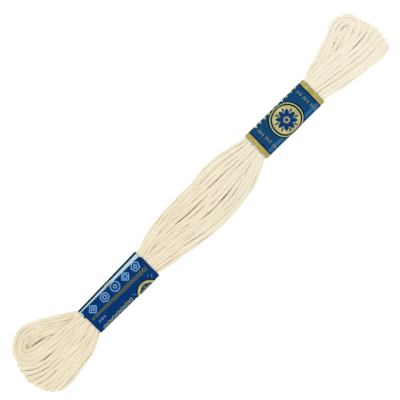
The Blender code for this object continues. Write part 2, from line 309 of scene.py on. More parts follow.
print(len(GAPS), "gaps and seams")

# %% The upper run of one turn
INNER_PLACES = (11.5, 10.5, 9.2, 7.5, 6.5, 5.5, 4.5, 3.5, 2.5, 1.5, 0.5)
DIVE_X = 40.0
DIVE_LENGTH = 12.0


def place_of(turn):
    """A turn's number across the hank, and how many layers down it lies. The later turns go back."""
    if turn < SHOWN:
        return float(turn), 0.0
    return INNER_PLACES[turn - SHOWN], 1.0


def upper_run(turn, x):
    """Points of a turn's upper strand at each x."""
    place, layer = place_of(turn)
    y = upper_y(place, x)
    under = turn_at(NARROW_TURNS, place).under * ease((x - DIVE_X) / DIVE_LENGTH)
    for gap in GAPS:
        open_here = gap_at(gap, x)
        y = y + gap.half_width * np.sign(place - gap.row) * open_here
        under = under + gap.sink * open_here * (abs(place - gap.row) < SAME_ROW)
    z = height(x, y, upper_y(0.0, x), upper_y(LAST, x), 1.0, LAYER * layer + under)
    return np.column_stack([x, y, z])


print("turn 0 crosses the middle at", np.round(upper_run(0, np.zeros(1))[0], 2), "mm")

# %% The lower run of one turn
# In the fans the lower strands rise over a few millimetres to the floor of the eye.
EYE_FLOOR_X = (-74.0, -66.0, -60.0, -55.0, 56.0, 62.0, 76.0)
EYE_FLOOR = (3.15, 4.05, 5.0, 5.0, 5.0, 4.9, 4.7)
FLOOR_LEAD = 1.5
FLOOR_SLOPE = 7.0
RAISED_FROM = (5.0, 6.0)
RAISED_OVER = 1.5
LOWER_BAND_X = (-54.3, -26.6)


def lower_points(turn, x):
    """Points of a turn's lower strand at each x, as if it kept its place all the way."""
    place, layer = place_of(turn)
    y = lower_y(place, x)
    reach = np.array([lower_y(other, x) for other in LOWER_ORDER[0][:3]])
    z = height(x, y, reach.min(axis=0), reach.max(axis=0), -1.0, LAYER * layer)
    fan = np.where(x < 0.0, WIDE_X[0] + FLOOR_LEAD - x, x - NARROW_X[0] + FLOOR_LEAD) / FLOOR_SLOPE
    raised = smooth(x, EYE_FLOOR_X, EYE_FLOOR) - LAYER * layer
    first_raised = np.where(x < 0.0, *RAISED_FROM)
    z += (raised - z) * ease(fan) * ease((place - first_raised) / RAISED_OVER)
    return np.column_stack([x, y, z])


def lower_run(turn, x):
    """Points of a turn's lower strand, which steps over to the next turn's place in the band."""
    here = lower_points(turn, x)
    if turn + 1 == TURNS:
        return here
    share = ease((LOWER_BAND_X[1] - x) / (LOWER_BAND_X[1] - LOWER_BAND_X[0]))[:, None]
    return here + (lower_points(turn + 1, x) - here) * share


print("and comes back below it at", np.round(lower_run(0, np.zeros(1))[0], 2), "mm")

# %% Evenly spaced points along a path
def distance_along(points):
    """Distance from the first point of a path to each of its points."""
    return np.append(0.0, np.cumsum(np.linalg.norm(np.diff(points, axis=0), axis=1)))


def evenly(points, count):
    """The same path through count points, spaced evenly along it."""
    along = distance_along(points)
    wanted = np.linspace(0.0, along[-1], count)
    return np.column_stack([np.interp(wanted, along, points[:, axis]) for axis in range(3)])


print("turn 0 is", round(distance_along(upper_run(0, np.arange(-72.0, 75.0)))[-1], 1), "mm long above")

# %% The two tips of one turn
TURN_POINTS = 22
LOOP_STEPS = 241
TIP_LOSS = 0.6
INNER_TIP = 0.35
CURL_TIP = 3.0 * INNER_TIP
EDGE_STEP = 0.9
# The turns up to the first place make plain rounded loops, and those past the second curl round the eye.
EYE_FROM = 8.5
LOOP_FROM = (5.2, EYE_FROM)
LOOP_ROUND = (0.75, 0.87, 1.25)
LOOP_SIDE = (0.75, 0.87, 1.0)
LOOP_DRIFT = (0.75, 2.0, 1.0)


def edge_slope(place, turns):
    """How far a fan's outer edge runs along the hank for each millimetre across it, at one loop."""
    ends = [turn_at(turns, place + step) for step in (-EDGE_STEP, EDGE_STEP)]
    across = [0.5 * (end.wide + end.back_y) + end.lean for end in ends]
    return (ends[1].tip_x - ends[0].tip_x) / (across[1] - across[0])


def tip(turn, turns, start, end):
    """Points round a tip, from the upper strand's last point to the lower strand's first."""
    place, layer = place_of(turn)
    row = turn_at(turns, place)
    reach = row.tip_x - start[0]
    nested = INNER_TIP if place < EYE_FROM else CURL_TIP
    reach += math.copysign(TIP_LOSS - nested * layer, reach)
    kind = np.searchsorted(LOOP_FROM, place)
    angle = np.linspace(0.5 * math.pi, -0.5 * math.pi, LOOP_STEPS)
    sine = np.abs(np.sin(angle))
    out = np.cos(angle) ** LOOP_ROUND[kind]
    side = np.sign(angle) * sine ** LOOP_SIDE[kind]
    drift = np.sign(angle) * sine ** LOOP_DRIFT[kind]
    middle = 0.5 * (start + end)
    half = 0.5 * (start - end)
    slant = half[1] * drift * edge_slope(place, turns) if kind == 0 else 0.0
    points = np.column_stack([middle[0] + (reach + slant) * out + half[0] * side,
                              middle[1] + row.lean * out + half[1] * drift,
                              middle[2] + half[2] * side])
    return evenly(points, TURN_POINTS)[1:-1]


print("a tip's edge slopes by", round(float(edge_slope(2.0, WIDE_TURNS)), 2), "at the wide fan's third turn")

# %% Wind the whole thread
STEP_X = 1.3
# Both ends of the thread hide at this place, inside the lower band.
HIDDEN_X = -40.0


def wind():
    """Every point of the thread, and where each turn starts."""
    x = np.arange(WIDE_X[-1], NARROW_X[-1] + 0.01, STEP_X)
    parts = [lower_points(0, x[x < HIDDEN_X][::-1])]
    for turn in range(TURNS):
        above = upper_run(turn, x)
        below = lower_run(turn, x[::-1])
        wide_tip = tip(turn, WIDE_TURNS, above[0], parts[-1][-1])[::-1]
        narrow_tip = tip(turn, NARROW_TURNS, above[-1], below[0])
        if turn + 1 == TURNS:
            below = below[below[:, 0] > HIDDEN_X]
        parts += [wide_tip, above, narrow_tip, below]
    return np.concatenate(parts), np.cumsum([len(part) for part in parts])[::4]


thread, turn_starts = wind()
print("thread of", round(distance_along(thread)[-1] / 1000.0, 2), "m in", len(thread), "points")

# %% [markdown]
# ## Letting the strands settle
#
# The route is a plan, and in a plan two strands may share the same place. Real ones push each other
# aside. So the points are settled as a cloth solver would do it: any two that are closer than a
# strand's width move apart, none goes through the table or the paper, and each correction is spread
# along the thread, because cotton bends but doesn't kink. It is the same every time it is run.

# %% How thick a strand is along the hank
Sleeve = namedtuple("Sleeve", "name middle_x middle_y slope half_y widening lean length")
# The waists of the floss inside the two bands, and the paper, which stands a little off them.
LOWER_WAIST = Sleeve("lower_band", -40.4, -0.16, -0.0128, 5.4, 0.0128, 0.03, 27.3)
UPPER_WAIST = Sleeve("upper_band", 39.45, 0.17, -0.028, 5.22, -0.002, 0.035, 26.9)
LOWER = LOWER_WAIST._replace(middle_y=-0.19, slope=-0.01, half_y=5.66, widening=0.0148)
UPPER = UPPER_WAIST._replace(middle_y=0.095, half_y=5.375)
BAND_HALF_Z = 3.55
BAND_Z = 4.05
BAND_SQUARE = 2.4
PAPER = 0.12
SQUEEZED = 0.52
SWELL = 7.0


def strand_radius(x):
    """A strand is squeezed inside a band and swells out of it."""
    past = [np.abs(x - sleeve.middle_x) - 0.5 * sleeve.length for sleeve in (LOWER_WAIST, UPPER_WAIST)]
    past = np.min(past, axis=0)
    return SQUEEZED + (STRAND - SQUEEZED) * ease(past / SWELL)


print("a strand is", 2.0 * STRAND, "mm thick and", 2.0 * SQUEEZED, "mm inside the bands")

# %% Which strands touch
REACH = 1.9
SLAB = 4.0
NEIGHBOURS = 5


def close_pairs(points, reach):
    """Pairs of points nearer than reach, other than neighbours along the thread."""
    order = np.argsort(points[:, 0])
    firsts = []
    seconds = []
    edges = np.arange(points[:, 0].min(), points[:, 0].max() + SLAB, SLAB)
    at = np.searchsorted(points[order, 0], edges)
    reach_at = np.searchsorted(points[order, 0], edges + SLAB + reach)
    for start, stop, far in zip(at[:-1], at[1:], reach_at[:-1]):
        here = order[start:stop]
        near = order[start:far]
        gap = np.linalg.norm(points[here, None] - points[None, near], axis=2)
        one, two = np.nonzero(gap < reach)
        one, two = here[one], near[two]
        keep = np.abs(one - two) > NEIGHBOURS
        firsts.append(one[keep])
        seconds.append(two[keep])
    pairs = np.column_stack([np.concatenate(firsts), np.concatenate(seconds)])
    return np.unique(np.sort(pairs, axis=1), axis=0).T


print(len(close_pairs(thread, REACH)[0]), "pairs of points lie within", REACH, "mm of each other")

# %% What holds the strands: their own stiffness, the paper and the table
PAPER_ROOM = 3.2 * PAPER
BAND_REACH = 0.8


def spread_out(values, rounds):
    """Each point's value pulled to the mean of its neighbours along the thread, a few times."""
    for _ in range(rounds):
        values = values.copy()
        values[1:-1] += 0.5 * (0.5 * (values[:-2] + values[2:]) - values[1:-1])
    return values


def keep_clear(points, radius):
    """Strands inside a band stay inside its paper, and all of them stay above the table."""
    for sleeve in (LOWER_WAIST, UPPER_WAIST):
        past = points[:, 0] - sleeve.middle_x
        inside = np.abs(past) < 0.5 * sleeve.length + BAND_REACH
        past = past[inside]
        y = points[inside, 1] - sleeve.middle_y - sleeve.slope * past
        z = points[inside, 2] - BAND_Z
        room_y = sleeve.half_y + sleeve.widening * past - PAPER_ROOM - radius[inside]
        room_z = BAND_HALF_Z - PAPER_ROOM - radius[inside]
        out = np.abs(y / room_y) ** BAND_SQUARE + np.abs(z / room_z) ** BAND_SQUARE
        shrink = 1.0 / np.maximum(out ** (1.0 / BAND_SQUARE), 1.0)
        points[inside, 1] += y * (shrink - 1.0)
        points[inside, 2] += z * (shrink - 1.0)
    points[:, 2] = np.maximum(points[:, 2], radius)


print("strands stay", round(PAPER_ROOM, 2), "mm inside the middle of the paper")

# %% Settle the thread
ROUNDS = 110
NEW_PAIRS = 10
PUSH = 0.4
HOLD = 0.985

plan = spread_out(thread, 6)
radius = strand_radius(plan[:, 0])
points = plan.copy()
for number in range(ROUNDS):
    if number % NEW_PAIRS == 0:
        one, two = close_pairs(points, REACH)
    gap = points[two] - points[one]
    distance = np.maximum(np.linalg.norm(gap, axis=1), 1e-6)
    push = np.maximum(radius[one] + radius[two] - distance, 0.0) / distance
    move = PUSH * gap * push[:, None]
    for axis in range(3):
        points[:, axis] += np.bincount(two, move[:, axis], len(points))
        points[:, axis] -= np.bincount(one, move[:, axis], len(points))
    keep_clear(points, radius)
    points = plan + spread_out(HOLD * (points - plan), 1)
keep_clear(points, radius)
gap = np.linalg.norm(points[two] - points[one], axis=1)
sunk = radius[one] + radius[two] - gap
print("strands still share", round(float(np.percentile(sunk, 99)), 2), "mm at most places")
print("moved by up to", round(float(np.linalg.norm(points - plan, axis=1).max()), 2), "mm")

# %% [markdown]
# ## Mercerised cotton
#
# The real floss is long-staple cotton, mercerised: it has been drawn through lye, which swells each
# fibre smooth and round, so it is brighter than plain cotton and has a soft silky light along the
# strand. Each fine strand is two plies twisted together, with a low ridge every millimetre or less.
# One flat colour would look like plastic. So the ecru drifts in tone along the hank, grows a little
# paler towards the narrow fan, and the twist of the plies is a low bump.

# %% Colours and nodes
def linear(code):
    """An sRGB hex colour as linear red, green, blue and alpha."""
    parts = [int(code[place:place + 2], 16) / 255.0 for place in (1, 3, 5)]
    parts = [part / 12.92 if part <= 0.04045 else ((part + 0.055) / 1.055) ** 2.4 for part in parts]
    return (*parts, 1.0)


def fill(tree, target, inputs):
    """Fill a node's inputs: sockets are linked, hex colours made linear, other values set as they are."""
    for place, value in inputs.items():
        if isinstance(value, bpy.types.NodeSocket):
            tree.links.new(value, target.inputs[place])
        else:
            target.inputs[place].default_value = linear(value) if isinstance(value, str) else value


def node(tree, kind, output, inputs, **settings):
    """Add a node with its settings and links, and return one of its outputs."""
    made = tree.nodes.new("ShaderNode" + kind)
    for name, value in settings.items():
        setattr(made, name, value)
    fill(tree, made, inputs)
    return made.outputs[output]


print("mid grey is", round(linear("#808080")[0], 3), "in linear light")

# %% Materials, and colours laid over each other
def new_material(name, inputs):
    """A new material, its node tree and its shader, whose plain inputs are filled."""
    material = bpy.data.materials.new(name)
    material.use_nodes = True
    shader = material.node_tree.nodes["Principled BSDF"]
    fill(material.node_tree, shader, inputs)
    return material, material.node_tree, shader


def layered(tree, colour, *layers):
    """A colour with others over it. Each starts to show at one tone and shows its most at another."""
    for over, tone, start, full, most in layers:
        share = node(tree, "MapRange", "Result", {"Value": tone, "From Min": start, "From Max": full,
                                                  "To Max": most})
        colour = node(tree, "Mix", "Result", {"Factor": share, "A": colour, "B": over}, data_type="RGBA")
    return colour


def spots(tree, size_mm, detail):
    """A tone that changes over a surface in spots of about this size."""
    place = node(tree, "TexCoord", "Object", {})
    return node(tree, "TexNoise", "Fac", {"Vector": place, "Scale": 1.0 / (size_mm * MM), "Detail": detail})


print("colours are given as sRGB and mixed in linear light")

# %% Cotton, as the light finds it
ECRU = "#F7ECD1"
PALE_ECRU = "#FCF4E2"
SHADE_ECRU = "#F0E5CA"
# Fibres drift in tone over about 17 mm along the hank, and from one strand to the next.
STREAK_MM = (50.0 / 3.0, 10.0 / 9.0, 10.0 / 9.0)
# Fine two-ply cotton has a ridge every 0.5 to 1 mm. The wave's bands are 2 pi / 5 units of the thread's
# map apart, so with a unit of 0.8 mm they are drawn 1 mm apart.
MAP_UNIT_MM = 0.8
RIDGE_HEIGHT = 0.02 * MM

cotton, tree, shader = new_material("mercerised_cotton", {
    "IOR": 1.53, "Roughness": 0.55, "Sheen Weight": 0.5, "Sheen Roughness": 0.4})
place = node(tree, "TexCoord", "Object", {})
thread_map = node(tree, "UVMap", "UV", {}, uv_map="thread")
scale = [1.0 / (size * MM) for size in STREAK_MM]
streaks = node(tree, "Mapping", "Vector", {"Vector": place, "Scale": scale})
tone = node(tree, "TexNoise", "Fac", {"Vector": streaks, "Scale": 1.0, "Detail": 2.0})
along_x = node(tree, "SeparateXYZ", "X", {"Vector": place})
# The ecru grows paler from x = -30 mm to x = 75 mm, towards the narrow fan.
ecru = layered(tree, ECRU, (SHADE_ECRU, tone, 0.35, 0.75, 1.0),
               (PALE_ECRU, along_x, -30.0 * MM, 75.0 * MM, 0.85))
ridges = node(tree, "TexWave", "Fac", {"Vector": thread_map, "Scale": 0.5, "Distortion": 0.6},
              wave_type="BANDS", bands_direction="DIAGONAL")
bump = node(tree, "Bump", "Normal", {"Height": ridges, "Distance": RIDGE_HEIGHT, "Strength": 0.6})
fill(tree, shader, {"Base Color": ecru, "Normal": bump})
print("cotton:", len(tree.nodes), "nodes")

# %% [markdown]
# ## Six fine strands
#
# Stranded cotton is six two-ply threads that lie together with one slow turn in about 75 mm. Five
# are laid round one here. Each wanders a little on its own, so that the outline of a strand is soft
# and lumpy. They are real tubes, because their edges show wherever a strand bends over another.

# %% Frames that follow the thread without twisting
def frames_along(points):
    """Directions along, across and up from each point, carried along the path without a twist."""
    along = np.gradient(points, axis=0)
    along /= np.linalg.norm(along, axis=1)[:, None]
    up = np.zeros_like(along)
    up[0] = np.cross(along[0], (0.0, 1.0, 0.0))
    up[0] /= np.linalg.norm(up[0])
    for number in range(1, len(points)):
        carried = up[number - 1] - along[number] * (up[number - 1] @ along[number])
        up[number] = carried / np.linalg.norm(carried)
    return along, np.cross(up, along), up


along, across, up = frames_along(points)
length_along = distance_along(points)
print("the settled thread is", round(length_along[-1] / 1000.0, 2), "m long")

# %% The paths of the six fine strands
PLIES = 6
PLY = 0.39
PLY_RING = 0.41
LAY_LENGTH = 75.0
LAY_WANDER = 0.35
WANDER = 0.07
# How loosely the six lie together: open at the tips, tight beside the bands.
LOOSE_X = (-82.0, -77.0, -60.0, -50.0, -30.0, -18.0, 12.0, 28.0, 50.0, 62.0, 76.0, 81.0)
LOOSE = (1.15, 1.05, 1.05, 0.8, 0.8, 1.08, 1.08, 0.8, 0.8, 1.05, 1.05, 1.15)

random = np.random.default_rng(8)


def wander(length_mm):
    """A soft random value along the thread, between about -1 and 1."""
    waves = random.uniform(9.0, 30.0, 4)
    starts = random.uniform(0.0, 2.0 * math.pi, 4)
    total = sum(np.sin(2.0 * math.pi * length_mm / wave + start) for wave, start in zip(waves, starts))
    return 0.5 * total


def ply_paths():
    """The middle line of each of the six fine strands."""
    squeeze = (radius / STRAND * smooth(points[:, 0], LOOSE_X, LOOSE))[:, None]
    paths = []
    for ply in range(PLIES):
        angle = 2.0 * math.pi * (length_along / LAY_LENGTH + ply / (PLIES - 1.0))
        angle += LAY_WANDER * wander(length_along)
        ring = (PLY_RING if ply < PLIES - 1 else 0.0) + WANDER * wander(length_along)
        offset = across * (ring * np.cos(angle))[:, None] + up * (ring * np.sin(angle))[:, None]
        path = points + offset * squeeze
        path[:, 2] = np.maximum(path[:, 2], PLY)
        paths.append(path)
    return paths


paths = ply_paths()
ply_radius = PLY * radius / STRAND
print(len(paths), "fine strands, each", 2.0 * PLY, "mm thick")

# %% Tubes, and a piece from any mesh
PLY_SIDES = 6


def tube(path, tube_radius, start, stop):
    """Rings of corners round one stretch of a path."""
    angle = 2.0 * math.pi * np.arange(PLY_SIDES) / PLY_SIDES
    rings = (path[start:stop, None]
             + tube_radius[start:stop, None, None]
             * (across[start:stop, None] * np.cos(angle)[None, :, None]
                + up[start:stop, None] * np.sin(angle)[None, :, None]))
    return rings.reshape(-1, 3)


def tube_faces(rings, first, sides=PLY_SIDES, closed=False):
    """Quads between rings of corners, and a cap at each end unless the tube closes on itself."""
    corner = first + np.arange(rings * sides).reshape(rings, sides)
    after = np.roll(corner, -1, axis=1)
    quads = np.stack([corner, after, np.roll(after, -1, axis=0), np.roll(corner, -1, axis=0)], axis=2)
    if closed:
        return quads.reshape(-1, 4).tolist()
    return quads[:-1].reshape(-1, 4).tolist() + [corner[0, ::-1].tolist(), corner[-1].tolist()]


def new_piece(name, vertices, faces, material, smooth_shade=True):
    """A mesh object from points in millimetres."""
    mesh = bpy.data.meshes.new(name)
    mesh.from_pydata(to_frame(vertices).tolist(), [], faces)
    mesh.materials.append(material)
    if smooth_shade:
        mesh.shade_smooth()
    piece = bpy.data.objects.new(name, mesh)
    bpy.context.scene.collection.objects.link(piece)
    return piece


print("a stretch of", TURN_POINTS, "rings has", len(tube_faces(TURN_POINTS, 0)), "faces")

# %% Maps on the tubes, for the twist and for baking
ROW_MARGIN = 0.1
STRIP_MARGIN = 0.08
CAP_SIZE = 0.4


def read(items, name):
    """One whole number of each item of a mesh."""
    values = np.zeros(len(items), dtype=np.int32)
    items.foreach_get(name, values)
    return values


def corners_of(mesh):
    """For each face corner: its vertex, the face's first vertex, and how many corners the face has."""
    corner = read(mesh.loops, "vertex_index")
    first = corner[read(mesh.polygons, "loop_start")]
    count = read(mesh.polygons, "loop_total")
    return corner, np.repeat(first, count), np.repeat(count, count)


def thread_maps(piece, start, stop):
    """One map along each tube, and from 0 to 1 round it, for the twist. One of strips, for baking."""
    rings = stop - start
    corner, first, count = corners_of(piece.data)
    ring = (corner // PLY_SIDES) % rings
    side = corner % PLY_SIDES
    side = np.where((side == 0) & (first % PLY_SIDES == PLY_SIDES - 1) & (count == 4), PLY_SIDES, side)
    twist = np.column_stack([length_along[start + ring] / MAP_UNIT_MM, side / PLY_SIDES])
    piece.data.uv_layers.new(name="thread").data.foreach_set("uv", twist.ravel())

    ply = corner // (PLY_SIDES * rings)
    step = (first // PLY_SIDES) % rings
    per_row = int(math.ceil(math.sqrt(2.0 * PLIES * rings)))
    rows_each = int(math.ceil(rings / per_row))
    rows = PLIES * rows_each + 1
    u = (step % per_row + ring - step + ROW_MARGIN) / (per_row + 2.0 * ROW_MARGIN)
    v = STRIP_MARGIN + (1.0 - 2.0 * STRIP_MARGIN) * side / PLY_SIDES
    v = (ply * rows_each + step // per_row + v) / rows
    # The two end caps of each tube are small discs in a row of their own.
    turn = 2.0 * math.pi * side / PLY_SIDES
    cap_u = (2.0 * ply + (ring > 0) + 0.5 + CAP_SIZE * np.cos(turn)) / (2.0 * PLIES)
    cap_v = (rows - 0.5 + CAP_SIZE * np.sin(turn)) / rows
    flat = np.where((count == 4)[:, None], np.column_stack([u, v]), np.column_stack([cap_u, cap_v]))
    piece.data.uv_layers.new(name="OFBake").data.foreach_set("uv", flat.ravel())


print("each tube is mapped as strips of", PLY_SIDES, "sides, with a cap at each end")

# %% The floss, in four pieces that meet at the ends of turns
PIECES = 4
for part in range(PIECES):
    start = turn_starts[part * TURNS // PIECES] if part else 0
    stop = min(turn_starts[(part + 1) * TURNS // PIECES] + 1, len(points))
    vertices = []
    faces = []
    for path in paths:
        faces += tube_faces(stop - start, sum(len(rows) for rows in vertices))
        vertices.append(tube(path, ply_radius, start, stop))
    piece = new_piece("floss_turns_" + str(part + 1), np.concatenate(vertices), faces, cotton)
    thread_maps(piece, start, stop)
    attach(piece, "root")
    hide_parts("floss_hank")
    print(piece.name, len(faces), "faces")

# %% [markdown]
# ## Two paper bands
#
# Each band is one strip of label paper, 27 mm wide, wound once round the floss and glued over its own
# start. It could be an extruded ring, but then the glued edge would not stand proud, and print could
# not run over it. So a flat sheet is laid out in millimetres and one function bends any flat point
# round the pressed oval of the hank. The paper and all its ink go through the same function.

# %% A paper sleeve and any flat artwork on it, bent round the hank
OVAL_STEPS = 4000
EVEN_STEPS = 720


def section_table(sleeve):
    """Distance round a band from its crown towards +Y, with the place and outward normal there."""
    angle = np.linspace(-math.pi, math.pi, OVAL_STEPS + 1)
    y = sleeve.half_y * np.sign(np.sin(angle)) * np.abs(np.sin(angle)) ** (2.0 / BAND_SQUARE)
    z = BAND_HALF_Z * np.sign(np.cos(angle)) * np.abs(np.cos(angle)) ** (2.0 / BAND_SQUARE)
    around = np.append(0.0, np.cumsum(np.hypot(np.diff(y), np.diff(z))))
    even = np.linspace(0.0, around[-1], EVEN_STEPS + 1)
    y = np.interp(even, around, y)
    z = np.interp(even, around, z)
    slope_y = np.gradient(y)
    slope_z = np.gradient(z)
    size = np.hypot(slope_y, slope_z)
    return even - 0.5 * around[-1], y, z, -slope_z / size, slope_y / size


def once_round(table, v):
    """The same places round a band, counted within one turn of it."""
    return (np.asarray(v, float) - table[0]) % np.ptp(table) + table[0]


def wrap(sleeve, u, v, lift):
    """Points u mm along a band from its middle and v mm round it from the crown, lift mm proud of it."""
    table, y, z, normal_y, normal_z = section_table(sleeve)
    v = once_round(table, v)
    wide = 1.0 + sleeve.widening * u / sleeve.half_y
    out_y = np.interp(v, table, y) * wide + lift * np.interp(v, table, normal_y)
    out_z = np.interp(v, table, z) + lift * np.interp(v, table, normal_z)
    return np.stack([sleeve.middle_x + u + sleeve.lean * out_y,
                     sleeve.middle_y + sleeve.slope * u + out_y,
                     BAND_Z + out_z], axis=-1)


def round_at(sleeve, y):
    """How far round from the crown a band's upper face is at y mm from the band's middle."""
    table, across, high, _, _ = section_table(sleeve)
    top = high > 0.0
    return np.interp(y, across[top], table[top])


for sleeve in (LOWER, UPPER):
    print(sleeve.name, "is", round(float(np.ptp(section_table(sleeve)[0])), 1), "mm round")

# %% Where things printed on a band lie on the flat paper
def flat_place(sleeve, x, y):
    """Along and round a flat band, for a place seen at x, y from straight above."""
    u = x - sleeve.middle_x
    out_y = (y - sleeve.middle_y - sleeve.slope * u) * sleeve.half_y / (sleeve.half_y + sleeve.widening * u)
    return u - sleeve.lean * out_y, round_at(sleeve, out_y)


print("the lower band's crown is printed at", np.round(flat_place(LOWER, LOWER.middle_x, 0.0), 2), "mm")

# %% A sheet of paper wound once round and over its own start
ROUND_STEPS = 220
ALONG_STEPS = 70
FLAP_RISE = 9.0
SLIP_FROM = 4.0
SLIP_LENGTH = 5.0
# Slight folds along a band, where a hand has pressed it flat: their middle, width and depth.
CREASES = ((-4.3, 0.5, 0.05), (4.9, 0.7, 0.04), (-1.9, 1.1, 0.02), (2.6, 1.4, 0.02))
Wrapping = namedtuple("Wrapping", "start_v flap_v start_slip ends")


def bumps(v, rows):
    """Soft bumps along v, each with its middle, width and height."""
    return sum(tall * np.exp(-((v - middle) / width) ** 2) for middle, width, tall in rows)


def sleeve_sheet(sleeve, wrapping):
    """Flat places and lifts of a sheet of paper wound once round and over its own start."""
    table = section_table(sleeve)[0]
    girth = np.ptp(table)
    across = np.linspace(-0.5, 0.5, ALONG_STEPS + 1)[None, :] * sleeve.length
    length = wrapping.flap_v(across) - wrapping.start_v + girth
    s = np.linspace(0.0, 1.0, ROUND_STEPS + 1)[:, None] * length
    v = wrapping.start_v + s
    once = once_round(table, v)
    lift = PAPER * (ease((s - girth + FLAP_RISE) / FLAP_RISE) - 1.0) - bumps(once, CREASES)
    slip = wrapping.start_slip * (1.0 - ease((s - SLIP_FROM) / SLIP_LENGTH))
    u = across + slip + wrapping.ends(across / (0.5 * sleeve.length), once)
    return u, v, lift, s


print("a sheet has", ROUND_STEPS, "by", ALONG_STEPS, "faces on each side")

# %% A band from its two faces of paper
def closed_sheet(outer, inner):
    """One closed shell from a grid of outer points and a grid of inner points."""
    rows, columns = outer.shape[:2]
    grid = np.arange(rows * columns).reshape(rows, columns)
    quads = np.stack([grid[:-1, :-1], grid[1:, :-1], grid[1:, 1:], grid[:-1, 1:]], axis=-1).reshape(-1, 4)
    under = quads[:, ::-1] + rows * columns
    rim = np.concatenate([grid[0], grid[1:, -1], grid[-1, -2::-1], grid[-2:0:-1, 0]])
    after = np.roll(rim, -1)
    sides = np.stack([rim, after, after + rows * columns, rim + rows * columns], axis=1)
    vertices = np.concatenate([outer.reshape(-1, 3), inner.reshape(-1, 3)])
    return vertices, np.concatenate([quads, under, sides]), len(quads)


def make_sleeve(sleeve, wrapping, paper, back_paper):
    """A band of paper, printed outside and bare inside, with its print map in millimetres."""
    u, v, lift, s = sleeve_sheet(sleeve, wrapping)
    vertices, faces, printed = closed_sheet(wrap(sleeve, u, v, lift), wrap(sleeve, u, v, lift - 0.8 * PAPER))
    piece = new_piece(sleeve.name + "_paper", vertices, faces.tolist(), paper, False)
    piece.data.materials.append(back_paper)
    index = np.ones(len(faces), dtype=np.int32)
    index[:printed] = 0
    piece.data.polygons.foreach_set("material_index", index)
    piece.data.polygons.foreach_set("use_smooth", index == 0)
    layer = piece.data.uv_layers.new(name="print")
    flat = np.column_stack([u.ravel(), s.ravel()])
    layer.data.foreach_set("uv", np.concatenate([flat, flat])[faces.ravel()].ravel())
    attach(piece, "root")
    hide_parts(sleeve.name)
    print(piece.name, len(faces), "faces, flat", sleeve.length, "by", round(float(s.max()), 1), "mm")


print("the paper is", 0.8 * PAPER, "mm thick")

# %% [markdown]
# ## Printed paper
#
# The bands are plain label paper with a solid blue printed over all but one margin, so they are nearly
# matt, and the blue is a little paler where the fibres stand up. The ends of the upper band have a
# dark line and an edge of bronze ink that has tarnished. All of that is flat colour with no height,
# so it is worked out from the band's own map in millimetres and not built.

# %% Printed paper
PAPER_IOR = 1.5
DEEP_BLUE = "#003470"
ROYAL_BLUE = "#064272"
# A paler blue for the painted highlight on the upper band.
PAINTED_HIGHLIGHT_BLUE = "#2E69A0"
NIGHT_BLUE = "#03182A"
PALE_BLUE = "#B9D9DE"
# A darker blue for painted shade along the lower band's fold.
PAINTED_SHADE_BLUE = "#031F38"
# Paper fibres are about 0.03 mm across, too fine to show, so the mottle is drawn at 0.6 mm.
MOTTLE_MM = 0.6


def printed_paper(name, code, wear, gloss):
    """Paper printed in one colour, a little paler where its mottle is high, and what it is made of."""
    material, tree, shader = new_material(name, {"IOR": PAPER_IOR, "Specular IOR Level": gloss})
    mottle = spots(tree, MOTTLE_MM, 3.0)
    rough = node(tree, "MapRange", "Result", {"Value": mottle, "To Min": 0.38, "To Max": 0.55})
    bump = node(tree, "Bump", "Normal", {"Height": mottle, "Distance": 0.01 * MM, "Strength": 0.5})
    fill(tree, shader, {"Roughness": rough, "Normal": bump})
    print_map = node(tree, "UVMap", "UV", {}, uv_map="print")
    return material, tree, shader, print_map, layered(tree, code, (PALE_BLUE, mottle, 0.45, 0.8, wear))


def striped(tree, colour, *stripes):
    """A colour with stripes of others over it, each from one distance to another on the flat paper."""
    for over, distance, start, end in stripes:
        inside = node(tree, "Math", "Value", {0: distance, 1: 0.5 * (start + end), 2: 0.5 * (end - start)},
                      operation="COMPARE")
        colour = layered(tree, colour, (over, inside, 0.0, 1.0, 1.0))
    return colour


print("paper mottled in spots of", MOTTLE_MM, "mm")

# %% The lower band's paper: deep blue, with a pale margin at the glued start
LOWER_START = round_at(LOWER, 1.9)
MARGIN_START = 0.9
MARGIN_END = round_at(LOWER, 4.89) - LOWER_START
# Beside the margin, where the paper turns over the fold, the blue is painted darker: painted shade.
PAINTED_SHADE_WIDTH = 1.1

lower_paper, tree, shader, print_map, blue = printed_paper("deep_blue_matt_paper", DEEP_BLUE, 0.02, 0.01)
around = node(tree, "SeparateXYZ", "Y", {"Vector": print_map})
# The dark stripe beside the pale margin is painted shade along the fold.
colour = striped(tree, blue, (PALE_BLUE, around, MARGIN_START, MARGIN_END),
                 (PAINTED_SHADE_BLUE, around, MARGIN_END, MARGIN_END + PAINTED_SHADE_WIDTH))
fill(tree, shader, {"Base Color": colour})
print("pale margin up to", round(float(MARGIN_END), 1), "mm from the paper's start")

# %% The upper band's paper: royal blue between gold ends with a dark line
UPPER_START = 12.5
# A long strip near the -Y edge, along a crease, is painted paler blue: a painted highlight.
PAINTED_HIGHLIGHT_SPAN = [round_at(UPPER, y) - UPPER_START + np.ptp(section_table(UPPER)[0]) for y in (-4.6, -3.53)]
LINE_FROM = 11.3
GOLD_FROM = 11.75
PAST_END = 20.0
GOLD_INK = "#BBB065"
DULL_GOLD = "#9C9350"
TARNISH_BROWN = "#B5864A"
TARNISH_GREEN = "#AFC08A"
# The bronze has tarnished in brown and in greenish patches of about 1.8 mm.
PATCH_MM = 1.0 / 0.55

